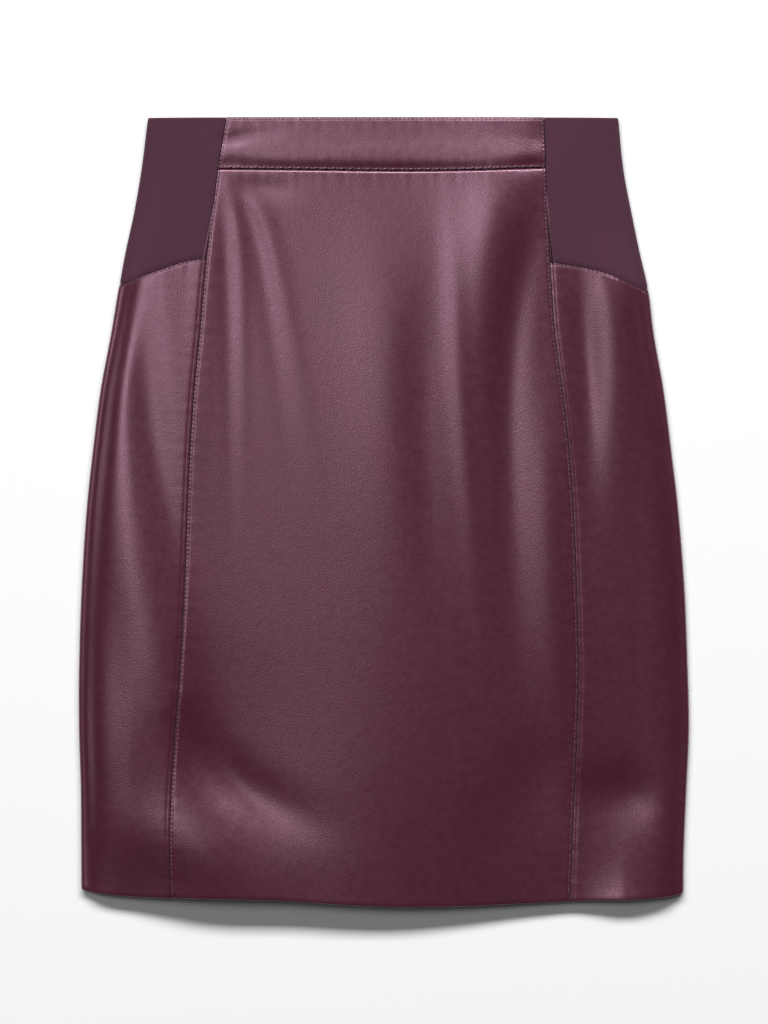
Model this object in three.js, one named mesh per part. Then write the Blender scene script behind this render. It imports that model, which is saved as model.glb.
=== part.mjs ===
import * as THREE from 'three';

// A pencil skirt of soft coated leather with elastic side insets, laid flat on its back.
// Millimetres. +X runs to the right seen from above, +Y up to the waist, +Z up from the surface.
// The origin is on the surface, under the middle of the skirt's outline.
// The front layer lies over the back layer, and each side panel and inset wraps a side fold.

// Overall length from the waist edge to the lowest point of the hem
const LENGTH = 620;
const WAIST_Y = LENGTH / 2;

// Heights of the sewn bands
const BAND_HEIGHT = 40.5;
const HEM_TURN = 30;

// Wall thicknesses: one layer of leather, the turned-up hem, the interfaced band, the elastic
const LEATHER = 1.2;
const HEM_WALL = 2.4;
const BAND_WALL = 2.4;
const ELASTIC = 1.6;

// The band stands proud of the panels, and the elastic lies a little lower
const BAND_LIFT = 1;
const ELASTIC_DROP = 0.5;

// Radius of the rounded side folds, and the gap that parts two pieces at a seam
const FOLD_RADIUS = 3;
const SEAM_GAP = 0.3;

// How far in from a side fold the front has risen half-way to its full height
const RISE_REACH = 10;

// Facets: across and down each kind of piece
const FRONT_ACROSS = 34;
const FRONT_DOWN = 26;
const BACK_ACROSS = 8;
const BACK_DOWN = 22;
const SIDE_FRONT_ACROSS = 9;
const SIDE_BACK_ACROSS = 5;
const SIDE_DOWN = 23;
const INSET_DOWN = 8;
const BAND_DOWN = 4;
const FOLD_STEPS = 6;

const LEATHER_COLOUR = '#5a2b3c';
const BAND_COLOUR = '#623443';
const ELASTIC_COLOUR = '#4f303f';

// Distances from the middle line to the side folds and to the seams, by distance below the waist
const SECTIONS = [
  { down: 0, leftFold: 186, leftSeam: 124, rightSeam: 125.5, rightFold: 184.5 },
  { down: 40, leftFold: 191, leftSeam: 130.5, rightSeam: 127, rightFold: 188.5 },
  { down: 75, leftFold: 197, leftSeam: 135, rightSeam: 128.3, rightFold: 195 },
  { down: 105, leftFold: 203.5, leftSeam: 138.7, rightSeam: 129.8, rightFold: 201.2 },
  { down: 135, leftFold: 209, leftSeam: 141.7, rightSeam: 131.6, rightFold: 208 },
  { down: 168, leftFold: 214.5, leftSeam: 144.5, rightSeam: 134, rightFold: 212 },
  { down: 214, leftFold: 223, leftSeam: 149, rightSeam: 140, rightFold: 220 },
  { down: 261, leftFold: 229, leftSeam: 152.2, rightSeam: 145.2, rightFold: 226 },
  { down: 308, leftFold: 234, leftSeam: 154.3, rightSeam: 148.6, rightFold: 231.5 },
  { down: 371, leftFold: 238, leftSeam: 156.6, rightSeam: 151.2, rightFold: 236.5 },
  { down: 434, leftFold: 240, leftSeam: 160, rightSeam: 152.9, rightFold: 239 },
  { down: 480, leftFold: 240, leftSeam: 163.5, rightSeam: 151.8, rightFold: 240 },
  { down: 528, leftFold: 238.6, leftSeam: 166.8, rightSeam: 149.7, rightFold: 238 },
  { down: 575, leftFold: 238.3, leftSeam: 168.2, rightSeam: 147.8, rightFold: 236 },
  { down: 620, leftFold: 238, leftSeam: 167.4, rightSeam: 146.2, rightFold: 235.5 },
];

// The hem line: how far below the waist edge it lies, from left to right
const HEM = [
  { x: -240, down: 606.5 },
  { x: -225, down: 610 },
  { x: -192, down: 612.6 },
  { x: -130, down: 613.8 },
  { x: -80, down: 615 },
  { x: -35, down: 618 },
  { x: 5, down: 619.8 },
  { x: 55, down: 619.8 },
  { x: 100, down: 618.2 },
  { x: 150, down: 616 },
  { x: 200, down: 614.2 },
  { x: 228, down: 612 },
  { x: 240, down: 608 },
];

// The lower seam of each elastic inset, by distance in from the side fold
const INSET_FOOT = [
  { inward: 0, left: 131.5, right: 135.5 },
  { inward: 12, left: 126.5, right: 130.3 },
  { inward: 30, left: 120, right: 122.8 },
  { inward: 50, left: 113.5, right: 117.8 },
  { inward: 72, left: 110, right: 114.2 },
];

// How far the front rises above the height of the side folds, at five lines down the skirt
const LOFT_LINES = { leftSide: -200, leftSeam: -140, middle: 0, rightSeam: 140, rightSide: 200 };
const LOFT = [
  { down: 0, leftSide: 1, leftSeam: 4.6, middle: 6.3, rightSeam: 4, rightSide: 1 },
  { down: 40, leftSide: 3, leftSeam: 7.4, middle: 9.4, rightSeam: 7, rightSide: 2 },
  { down: 120, leftSide: 11.5, leftSeam: 10, middle: 12.6, rightSeam: 10.5, rightSide: 8 },
  { down: 250, leftSide: 14, leftSeam: 12.2, middle: 15.5, rightSeam: 12.5, rightSide: 10.5 },
  { down: 390, leftSide: 13, leftSeam: 11.4, middle: 16.4, rightSeam: 11, rightSide: 8 },
  { down: 510, leftSide: 14.5, leftSeam: 8.8, middle: 15.8, rightSeam: 7, rightSide: 4.5 },
  { down: 620, leftSide: 5, leftSeam: 12, middle: 13, rightSeam: 3.5, rightSide: 7 },
];

// The largest folds of the front: a ridge has a positive height and a trough a negative one.
// Each runs from its head through a middle point to its foot, all given as x and distance below
// the waist. It is strongest at its peak, counted from 0 at the head to 1 at the foot, and fades
// out at both ends. The columns are name, head, mid, foot, peak, half width and height.
const FOLDS = [
  ['ridge by the left seam', [-123, 44], [-112, 120], [-110, 330], 0.35, 5.2, 0.6],
  ['trough beside it', [-120, 54], [-98, 108], [-68, 320], 0.45, 7.5, -0.65],
  ['inner left ridge', [-128, 44], [-89, 96], [-42, 340], 0.4, 7.5, 0.65],
  ['middle ridge', [-6, 40], [12, 230], [20, 500], 0.45, 36, 2.4],
  ['middle trough', [26, 110], [30, 253], [44, 440], 0.45, 15, -1.7],
  ['long right ridge', [52, 10], [58, 190], [82, 480], 0.55, 9, 1.3],
  ['broad right ridge', [112, 16], [79, 140], [84, 440], 0.35, 23, 3.6],
  ['upper right swell', [86, -30], [82, 90], [72, 260], 0.42, 42, 3.3],
  ['long right trough', [128, 36], [97, 200], [108, 520], 0.5, 13, -3],
  ['ridge by the right seam', [131, 160], [131, 340], [148, 610], 0.5, 15, 2.3],
  ['right side ridge', [174, 90], [186, 180], [184, 330], 0.35, 17, 4.4],
  ['trough by the right seam', [150, 105], [159, 210], [165, 360], 0.45, 12, -3],
  ['left side trough', [-190, 90], [-183, 245], [-150, 410], 0.45, 15, -3.1],
  ['crest by the left side fold', [-192, 90], [-214, 215], [-224, 350], 0.5, 12, 1.9],
  ['trough along the left seam', [-131, 50], [-123, 150], [-118, 400], 0.4, 6, -0.6],
  ['rise along the left seam', [-121, -20], [-143, 150], [-151, 380], 0.45, 13, 0.9],
  ['low left ridge', [-214, 170], [-194, 345], [-116, 668], 0.66, 28, 5.4],
  ['low left trough', [-162, 452], [-118, 522], [-5, 578], 0.42, 20, -5],
  ['swell at the left hem', [-240, 540], [-150, 572], [-50, 622], 0.5, 32, 5],
  ['low right hollow', [142, 470], [115, 530], [70, 600], 0.5, 30, -1.6],
  ['hollow low on the right side', [146, 508], [187, 534], [234, 528], 0.5, 24, -4.5],
  ['swell at the right hem', [140, 650], [188, 658], [236, 650], 0.5, 45, 7],
].map(([name, head, mid, foot, peak, width, height]) => ({ name, head, mid, foot, peak, width, height }));
const FOLD_SEGMENTS = 24;

const mix = THREE.MathUtils.lerp;
const evenly = (count) => Array.from({ length: count + 1 }, (_, k) => k / count);

// A smooth curve through the rows of a table, read at one value of its key column
function readTable(rows, key, column, at) {
  const last = rows.length - 1;
  if (at <= rows[0][key]) return rows[0][column];
  if (at >= rows[last][key]) return rows[last][column];
  const i = rows.findIndex((row) => row[key] > at) - 1;
  const slope = (k) => {
    const a = rows[Math.max(k - 1, 0)];
    const b = rows[Math.min(k + 1, last)];
    return (b[column] - a[column]) / (b[key] - a[key]);
  };
  const span = rows[i + 1][key] - rows[i][key];
  const t = (at - rows[i][key]) / span;
  const rise = rows[i + 1][column] - rows[i][column];
  const bendIn = slope(i) * span - rise;
  const bendOut = rise - slope(i + 1) * span;
  return rows[i][column] + t * rise + t * (1 - t) * ((1 - t) * bendIn + t * bendOut);
}

// Where the side folds, the seams and the hem lie; side is 'left' or 'right'
const signOf = (side) => (side === 'left' ? -1 : 1);
const foldX = (side, y) => signOf(side) * readTable(SECTIONS, 'down', `${side}Fold`, WAIST_Y - y);
const seamX = (side, y) => signOf(side) * readTable(SECTIONS, 'down', `${side}Seam`, WAIST_Y - y);
const hemY = (x) => WAIST_Y - readTable(HEM, 'x', 'down', x);
const bandSeamY = () => WAIST_Y - BAND_HEIGHT;
const waistY = () => WAIST_Y;

function insetFootY(side, x) {
  const nominal = WAIST_Y - INSET_FOOT[2][side];
  const inward = Math.max(0, Math.abs(foldX(side, nominal)) - Math.abs(x));
  return WAIST_Y - readTable(INSET_FOOT, 'inward', side, inward);
}

// The folds' centre lines as short runs of points
const foldLines = FOLDS.map(({ head, mid, foot, peak, width, height }) => {
  const rows = [head, mid, foot].map(([x, down], k) => ({ along: k / 2, x, down }));
  const line = evenly(FOLD_SEGMENTS).map((along) => ({
    x: readTable(rows, 'along', 'x', along),
    y: WAIST_Y - readTable(rows, 'along', 'down', along),
  }));
  return { line, width, height, skew: Math.log(0.5) / Math.log(peak) };
});

// The squared distance from a point to a fold's line, and how far along the line it is nearest
function nearestOn(line, x, y) {
  let nearest = { distance: Infinity, along: 0 };
  for (let k = 0; k < FOLD_SEGMENTS; k += 1) {
    const runX = line[k + 1].x - line[k].x;
    const runY = line[k + 1].y - line[k].y;
    const reach = ((x - line[k].x) * runX + (y - line[k].y) * runY) / (runX ** 2 + runY ** 2);
    const t = THREE.MathUtils.clamp(reach, 0, 1);
    const distance = (x - line[k].x - t * runX) ** 2 + (y - line[k].y - t * runY) ** 2;
    if (distance < nearest.distance) nearest = { distance, along: (k + t) / FOLD_SEGMENTS };
  }
  return nearest;
}

function foldsAt(x, y) {
  let sum = 0;
  for (const { line, width, height, skew } of foldLines) {
    const { distance, along } = nearestOn(line, x, y);
    sum += height * Math.exp(-distance / width ** 2) * Math.sin(Math.PI * along ** skew) ** 2;
  }
  return sum;
}

function loftAt(x, y) {
  const lines = Object.entries(LOFT_LINES).map(([name, lineX]) => ({
    x: lineX,
    loft: readTable(LOFT, 'down', name, WAIST_Y - y),
  }));
  return readTable(lines, 'x', 'loft', x);
}

// Height of the front's upper face above the surface
function frontHeight(x, y) {
  const side = x < 0 ? 'left' : 'right';
  const inward = Math.max(0, Math.abs(foldX(side, y)) - FOLD_RADIUS - Math.abs(x));
  const rise = inward ** 2 / (inward ** 2 + RISE_REACH ** 2);
  return 2 * FOLD_RADIUS + rise * (loftAt(x, y) + foldsAt(x, y));
}

// The outer and inner point of the wall, on the front layer, round a side fold and on the back
function frontPoint(x, y, lift, wall) {
  const step = 0.5;
  const slopeX = (frontHeight(x + step, y) - frontHeight(x - step, y)) / (2 * step);
  const slopeY = (frontHeight(x, y + step) - frontHeight(x, y - step)) / (2 * step);
  const outward = new THREE.Vector3(-slopeX, -slopeY, 1).normalize();
  const outer = new THREE.Vector3(x, y, frontHeight(x, y) + lift);
  return { outer, inner: outer.clone().addScaledVector(outward, -wall) };
}

function foldPoint(side, y, angle, lift, wall) {
  const radius = FOLD_RADIUS + lift / 2;
  const centre = foldX(side, y) - signOf(side) * FOLD_RADIUS;
  const outward = new THREE.Vector3(signOf(side) * Math.cos(angle), 0, Math.sin(angle));
  const outer = new THREE.Vector3(centre, y, radius).addScaledVector(outward, radius);
  return { outer, inner: outer.clone().addScaledVector(outward, -wall) };
}

function backPoint(x, y, wall) {
  return { outer: new THREE.Vector3(x, y, 0), inner: new THREE.Vector3(x, y, wall) };
}

// Rows of a leather panel: even down to the turned-up hem, then the step up to the hem's wall
function hemmedRows(count, length) {
  const turn = HEM_TURN / length;
  const step = 1 / length;
  return [...evenly(count).map((v) => v * (1 - turn - step)), 1 - turn, 1 - turn / 2, 1];
}

const hemmedWall = (rows) => (j) => (j >= rows.length - 3 ? HEM_WALL : LEATHER);

// A closed wall from a grid of outer and inner points, with its four edges faced over
function wallGeometry(columns, rows, pairAt) {
  const outer = [];
  const inner = [];
  for (let j = 0; j <= rows; j += 1) {
    for (let i = 0; i <= columns; i += 1) {
      const pair = pairAt(i, j);
      outer.push(pair.outer);
      inner.push(pair.inner);
    }
  }
  const points = [...outer, ...inner];
  const at = (i, j) => j * (columns + 1) + i;
  const under = (i, j) => outer.length + at(i, j);
  const faces = [];
  const quad = (a, b, c, d) => faces.push(a, b, c, a, c, d);
  for (let j = 0; j < rows; j += 1) {
    for (let i = 0; i < columns; i += 1) {
      quad(at(i, j), at(i + 1, j), at(i + 1, j + 1), at(i, j + 1));
      quad(under(i, j), under(i, j + 1), under(i + 1, j + 1), under(i + 1, j));
    }
  }
  for (let i = 0; i < columns; i += 1) {
    quad(at(i, 0), under(i, 0), under(i + 1, 0), at(i + 1, 0));
    quad(at(i, rows), at(i + 1, rows), under(i + 1, rows), under(i, rows));
  }
  for (let j = 0; j < rows; j += 1) {
    quad(at(0, j), at(0, j + 1), under(0, j + 1), under(0, j));
    quad(at(columns, j), under(columns, j), under(columns, j + 1), at(columns, j + 1));
  }
  if (signedVolume(points, faces) < 0) faces.reverse();
  const geometry = new THREE.BufferGeometry().setFromPoints(points);
  geometry.setIndex(faces);
  geometry.computeVertexNormals();
  return geometry;
}

function signedVolume(points, faces) {
  let sum = 0;
  for (let k = 0; k < faces.length; k += 3) {
    const [a, b, c] = [points[faces[k]], points[faces[k + 1]], points[faces[k + 2]]];
    sum += a.dot(b.clone().cross(c)) / 6;
  }
  return sum;
}

// The place of one grid point between an upper and a lower edge line; xAt gives x at a height
function settle(xAt, upper, lower, v) {
  let y = mix(WAIST_Y, -WAIST_Y, v);
  for (let round = 0; round < 4; round += 1) {
    const x = xAt(y);
    y = mix(upper(x), lower(x), v);
  }
  return { x: xAt(y), y };
}

const above = (line) => (x) => line(x) + SEAM_GAP / 2;
const below = (line) => (x) => line(x) - SEAM_GAP / 2;

// A piece of the front or back that lies between the two long seams
function middlePiece({ across, rows, upper, lower, lift, wallAt, layer }) {
  const us = evenly(across);
  return wallGeometry(across, rows.length - 1, (i, j) => {
    const left = (y) => seamX('left', y) + SEAM_GAP / 2;
    const right = (y) => seamX('right', y) - SEAM_GAP / 2;
    const { x, y } = settle((level) => mix(left(level), right(level), us[i]), upper, lower, rows[j]);
    return layer === 'front' ? frontPoint(x, y, lift, wallAt(j)) : backPoint(x, y, wallAt(j));
  });
}

// A piece that starts at a front seam, wraps the side fold and ends at the back seam below it
function sidePiece({ side, frontAcross, backAcross, rows, upper, lower, lift, wallAt }) {
  const stops = [
    ...evenly(frontAcross).map((across) => ({ layer: 'front', across })),
    ...evenly(FOLD_STEPS).slice(1).map((turn) => ({ layer: 'fold', angle: Math.PI * (0.5 - turn) })),
    ...evenly(backAcross).slice(1).map((across) => ({ layer: 'back', across: 1 - across })),
  ];
  const start = (y) => seamX(side, y) + signOf(side) * (SEAM_GAP / 2);
  const end = (y) => foldX(side, y) - signOf(side) * FOLD_RADIUS;
  return wallGeometry(stops.length - 1, rows.length - 1, (i, j) => {
    const { layer, across, angle } = stops[i];
    const xAt = (y) => (layer === 'fold' ? foldX(side, y) : mix(start(y), end(y), across));
    const { x, y } = settle(xAt, upper, lower, rows[j]);
    if (layer === 'fold') return foldPoint(side, y, angle, lift, wallAt(j));
    return layer === 'front' ? frontPoint(x, y, lift, wallAt(j)) : backPoint(x, y, wallAt(j));
  });
}

const leather = () => new THREE.MeshStandardMaterial({ color: LEATHER_COLOUR, roughness: 0.42 });
const bandLeather = () => new THREE.MeshStandardMaterial({ color: BAND_COLOUR, roughness: 0.42 });
const elastic = () => new THREE.MeshStandardMaterial({ color: ELASTIC_COLOUR, roughness: 0.85 });

const skirt = new THREE.Group();

function add(name, geometry, material) {
  const mesh = new THREE.Mesh(geometry, material);
  mesh.name = name;
  skirt.add(mesh);
}

function waistband(layer, across) {
  return middlePiece({
    across,
    rows: evenly(layer === 'front' ? BAND_DOWN : 1),
    upper: waistY,
    lower: above(bandSeamY),
    lift: BAND_LIFT,
    wallAt: () => BAND_WALL,
    layer,
  });
}

function middlePanel(layer, across, down) {
  const rows = hemmedRows(down, LENGTH - BAND_HEIGHT);
  return middlePiece({
    across,
    rows,
    upper: below(bandSeamY),
    lower: hemY,
    lift: 0,
    wallAt: hemmedWall(rows),
    layer,
  });
}

function sidePanel(side) {
  const rows = hemmedRows(SIDE_DOWN, LENGTH - INSET_FOOT[2][side]);
  return sidePiece({
    side,
    frontAcross: SIDE_FRONT_ACROSS,
    backAcross: SIDE_BACK_ACROSS,
    rows,
    upper: below((x) => insetFootY(side, x)),
    lower: hemY,
    lift: 0,
    wallAt: hemmedWall(rows),
  });
}

function elasticInset(side) {
  return sidePiece({
    side,
    frontAcross: SIDE_FRONT_ACROSS,
    backAcross: SIDE_BACK_ACROSS,
    rows: evenly(INSET_DOWN),
    upper: waistY,
    lower: above((x) => insetFootY(side, x)),
    lift: -ELASTIC_DROP,
    wallAt: () => ELASTIC,
  });
}

add('front_waistband', waistband('front', FRONT_ACROSS), bandLeather());
add('back_waistband', waistband('back', BACK_ACROSS), bandLeather());
add('front_panel', middlePanel('front', FRONT_ACROSS, FRONT_DOWN), leather());
add('back_panel', middlePanel('back', BACK_ACROSS, BACK_DOWN), leather());
for (const side of ['left', 'right']) {
  add(`${side}_side_panel`, sidePanel(side), leather());
  add(`${side}_elastic_inset`, elasticInset(side), elastic());
}

export default skirt;
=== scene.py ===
import math

import bmesh
import bpy
import numpy as np
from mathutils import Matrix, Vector


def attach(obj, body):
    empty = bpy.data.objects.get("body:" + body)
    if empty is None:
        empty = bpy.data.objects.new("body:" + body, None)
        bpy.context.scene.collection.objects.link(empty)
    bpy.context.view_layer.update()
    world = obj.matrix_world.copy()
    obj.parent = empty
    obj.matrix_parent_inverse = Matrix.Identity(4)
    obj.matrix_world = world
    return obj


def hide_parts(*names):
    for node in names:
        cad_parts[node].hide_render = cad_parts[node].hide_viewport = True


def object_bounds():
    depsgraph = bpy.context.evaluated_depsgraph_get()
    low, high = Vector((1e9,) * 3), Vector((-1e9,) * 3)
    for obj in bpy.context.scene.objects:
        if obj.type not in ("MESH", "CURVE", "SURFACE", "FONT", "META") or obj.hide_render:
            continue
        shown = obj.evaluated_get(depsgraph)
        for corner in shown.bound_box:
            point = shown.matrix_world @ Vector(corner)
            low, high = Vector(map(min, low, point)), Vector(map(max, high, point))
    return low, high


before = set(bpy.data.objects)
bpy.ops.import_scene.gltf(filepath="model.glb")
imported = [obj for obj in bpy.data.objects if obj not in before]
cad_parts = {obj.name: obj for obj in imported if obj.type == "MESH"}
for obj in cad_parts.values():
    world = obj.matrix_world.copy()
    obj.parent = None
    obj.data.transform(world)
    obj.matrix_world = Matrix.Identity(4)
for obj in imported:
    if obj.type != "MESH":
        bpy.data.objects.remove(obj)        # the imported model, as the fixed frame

CAD_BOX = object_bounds()

bl_info = {
    "name": "Leather pencil skirt, laid flat",
    "version": (1, 0, 0),
    "blender": (4, 5, 0),
    "location": "3D View > Sidebar > Skirt",
    "description": "Builds a leather skirt with elastic side insets, lying front up, and its studio",
    "category": "Object",
}

# The form is worked out in millimetres and written to the meshes in metres
MM = 0.001
BODY = "root"

# The waist edge comes from the frame
WAIST_Y = CAD_BOX[1].y / MM

# Distances from the middle line to the side folds and the seams, by distance below the waist
SECTION_COLUMNS = "down left_fold left_seam right_seam right_fold"
SECTION_ROWS = [
    (0, 186, 124, 125.5, 184.5),
    (40, 191, 130.5, 127, 188.5),
    (75, 197, 135, 128.3, 195),
    (105, 203.5, 138.7, 129.8, 201.2),
    (135, 209, 141.7, 131.6, 208),
    (168, 214.5, 144.5, 134, 212),
    (214, 223, 149, 140, 220),
    (261, 229, 152.2, 145.2, 226),
    (308, 234, 154.3, 148.6, 231.5),
    (371, 238, 156.6, 151.2, 236.5),
    (434, 240, 160, 152.9, 239),
    (480, 240, 163.5, 151.8, 240),
    (528, 238.6, 166.8, 149.7, 238),
    (575, 238.3, 168.2, 147.8, 236),
    (620, 238, 167.4, 146.2, 235.5),
]

# The waistband's lower seam: how far below the waist edge it lies, from left to right
BAND_COLUMNS = "x down"
BAND_ROWS = [(-131, 40), (-60, 41.1), (10, 41.9), (70, 41.3), (127, 39)]

# The hem line: how far below the waist edge it lies, from left to right
HEM_COLUMNS = "x down"
HEM_ROWS = [
    (-240, 606.5), (-225, 610), (-192, 612.6), (-130, 613.8), (-80, 615), (-35, 618),
    (5, 619.8), (55, 619.8), (100, 618.2), (150, 616), (200, 614.2), (228, 612), (240, 608),
]

# The lower seam of each elastic inset, by distance in from the side fold
FOOT_COLUMNS = "inward left right"
FOOT_ROWS = [(0, 131.5, 135.5), (12, 126.5, 130.3), (30, 120, 122.8), (50, 113.5, 117.8), (72, 110, 114.2)]

# How far below the waist the side fold is taken for those distances
FOOT_NOMINAL = {"left": 120, "right": 122.8}

# How far the front rises above the side folds, by distance below the waist, at five values of x
LOFT_X = (-200, -140, 0, 140, 200)
LOFT_COLUMNS = "down left_side left_seam middle right_seam right_side"
LOFT_ROWS = [
    (0, 1, 4.6, 6.3, 4, 1),
    (40, 3, 7.4, 9.4, 7, 2),
    (120, 11.5, 10, 12.6, 10.5, 8),
    (250, 14, 12.2, 15.5, 12.5, 10.5),
    (390, 13, 11.4, 16.4, 11, 8),
    (510, 14.5, 8.8, 15.8, 7, 4.5),
    (620, 5, 12, 13, 3.5, 7),
]

# Folds of the front, as (x, down) at head, middle and foot, where along them they are strongest,
# their half width, and their height, which is negative for a trough
FOLDS = [
    ("ridge by the left seam", (-123, 44), (-112, 120), (-110, 330), 0.35, 5.2, 0.6),
    ("trough beside it", (-120, 54), (-98, 108), (-68, 320), 0.45, 7.5, -0.65),
    ("inner left ridge", (-128, 44), (-89, 96), (-42, 340), 0.4, 7.5, 0.65),
    ("middle ridge", (-6, 40), (12, 230), (20, 500), 0.45, 36, 2.4),
    ("middle trough", (26, 110), (30, 253), (44, 440), 0.45, 15, -1.7),
    ("long right ridge", (52, 10), (58, 190), (82, 480), 0.55, 9, 1.3),
    ("broad right ridge", (112, 16), (79, 140), (84, 440), 0.35, 23, 3.6),
    ("upper right swell", (86, -30), (82, 90), (72, 260), 0.42, 42, 3.3),
    ("long right trough", (128, 36), (97, 200), (108, 520), 0.5, 13, -3),
    ("ridge by the right seam", (131, 160), (131, 340), (148, 610), 0.5, 15, 2.3),
    ("right side ridge", (174, 90), (186, 180), (184, 330), 0.35, 17, 4.4),
    ("trough by the right seam", (150, 105), (159, 210), (165, 360), 0.45, 12, -3),
    ("left side trough", (-190, 90), (-183, 245), (-150, 410), 0.45, 15, -3.1),
    ("crest by the left side fold", (-192, 90), (-214, 215), (-224, 350), 0.5, 12, 1.9),
    ("trough along the left seam", (-131, 50), (-123, 150), (-118, 400), 0.4, 6, -0.6),
    ("rise along the left seam", (-121, -20), (-143, 150), (-151, 380), 0.45, 13, 0.9),
    ("low left ridge", (-214, 170), (-194, 345), (-116, 668), 0.66, 28, 5.4),
    ("low left trough", (-162, 452), (-118, 522), (-5, 578), 0.42, 20, -5),
    ("swell at the left hem", (-240, 540), (-150, 572), (-50, 622), 0.5, 32, 5),
    ("low right hollow", (142, 470), (115, 530), (70, 600), 0.5, 30, -1.6),
    ("hollow low on the right side", (146, 508), (187, 534), (234, 528), 0.5, 24, -4.5),
    ("swell at the right hem", (140, 650), (188, 658), (236, 650), 0.5, 45, 7),
]
FOLD_SEGMENTS = 32

# A fold is left out beyond this many half widths, where nothing of it is left
FOLD_REACH = 3.2

# Small creases that the folds leave beside the sewn edges, as in the table of folds
CREASES = [
    ("hollow under the left end of the band", (-124, 50), (-98, 56), (-56, 60), 0.45, 8, -1.1),
    ("hollow in the left end of the band", (-136, 21), (-110, 16), (-62, 10), 0.35, 6.5, -1.2),
    ("hollow over the left end of the band's seam", (-142, 36), (-114, 35), (-70, 38), 0.4, 6, -0.8),
    ("swell of the band", (-170, 31), (0, 31), (170, 30), 0.5, 11, 0.8),
    ("hollow over the right end of the band's seam", (78, 44), (112, 38), (134, 33), 0.6, 6, -0.9),
    ("hollow at the right end of the band", (122, -4), (122, 16), (123, 36), 0.5, 6, -0.9),
]

# How far a sewn edge sinks and how wide the dip is
SEAM_DIP = (0.55, 1.5)
BAND_DIP = (1.2, 1.2)
BAND_EDGE_DIP = (0.5, 0.9)
BAND_SAG = (1.2, 5.2)
SIDE_TOP_DIP = (0.4, 0.9)
ELASTIC_DIP = (0.6, 2.2)
ELASTIC_TOP_DIP = (0.3, 0.8)

# The groove that a row of stitches pulls into the leather: its depth and width
CHANNEL = (0.22, 0.7)

# The groove beside a side panel's long seam: its depth, its width and its distance from the seam
SIDE_GROOVE = (0.3, 0.9, 2.4)

# Distance of the stitches from a sewn edge and from the waistband's lower edge, how far they stand
# proud of the leather, and how far those of the lower edge turn from its line
STITCH_INSET = 1.7
LIP_INSET = 1.1
STITCH_RISE = 0.08
LIP_SLANT = 0.45

# A needle hole's radius and how near the cosine of the stitch wave is to 1 there, for the painted shade
# in the holes; the width of the line of painted shade along a sewn edge; and how fast the pull of a stitch
# fades with distance
HOLE_RADIUS = 0.38
HOLE_START = 0.7
EDGE_SHADE_WIDTH = 0.6
PULL_FADE = 0.9

# Small waves beside the stitches: their height, how far in they reach, and each wave's length,
# weight and shift
PUCKER_HEIGHT = 0.08
PUCKER_REACH = 7.0
PUCKER_WAVES = ((11.0, 1.0, 0.4), (7.3, 0.7, 2.1), (17.0, 0.6, 4.4))

# Distances of the grid lines from a sewn edge, close together where the form is finest
EDGE_STOPS = [0, 0.35, 0.7, 1.1, 1.5, 1.9, 2.4, 3.1, 4.1, 5.5]

# Spacing of the grid lines elsewhere: across and down the front, and on the plain back
STEP_ACROSS = 2.5
STEP_DOWN = 2.9
STEP_BEHIND = 5
STEP_BACK_PANEL = 6
STEP_INSET = 3

# Usual width and length of each kind of piece on one side of the skirt, for spacing its grid lines
PANEL_SPAN = (300, 579)
SIDE_SPAN = (82, 495)
BAND_SPAN = (255, 40)
INSET_SPAN = (62, 122)

# Grid lines round the hem's bend, up its turning and round a side fold
HEM_LINES = 9
FOLD_LINES = 13

# A short distance over which the slope of a face is measured
NEARBY = 0.5

# Distance that stands for far from any sewn edge
FAR = 99

# Colours of the painted shade in the needle holes and along the sewn edges, of the leather's shine and of
# the world's light
PAINTED_SHADE_COLOUR = "#12070a"
SHINE_COLOUR = "#ffcee6"
WORLD_COLOUR = "#ffffff"

# Soft studio lights: place in metres, width and height in metres, and power in watts
KEY_LIGHT = ("Key softbox", (-2.6, 1.9, 7.4), (2.6, 3.3), 118)
TOP_LIGHT = ("Top softbox", (0, 5.8, 4.9), (9.6, 1.6), 1040)
WORLD_STRENGTH = 0.04

# The floor's half width in metres, and how far it lies below the skirt in millimetres
FLOOR_REACH = 4
FLOOR_DROP = 0.4

# The photograph's view: straight down, this many metres to a pixel at the front's level
PIXEL = 0.785 * MM
VIEW_HEIGHT = 1024 * PIXEL
LENS = 180.0
SENSOR = 36.0
FRONT_LEVEL = 12 * MM


def linear(hex_colour):
    """An sRGB hex colour as linear red, green and blue."""
    parts = [int(hex_colour[k:k + 2], 16) / 255 for k in (1, 3, 5)]
    return tuple(c / 12.92 if c <= 0.04045 else ((c + 0.055) / 1.055) ** 2.4 for c in parts)


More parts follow.
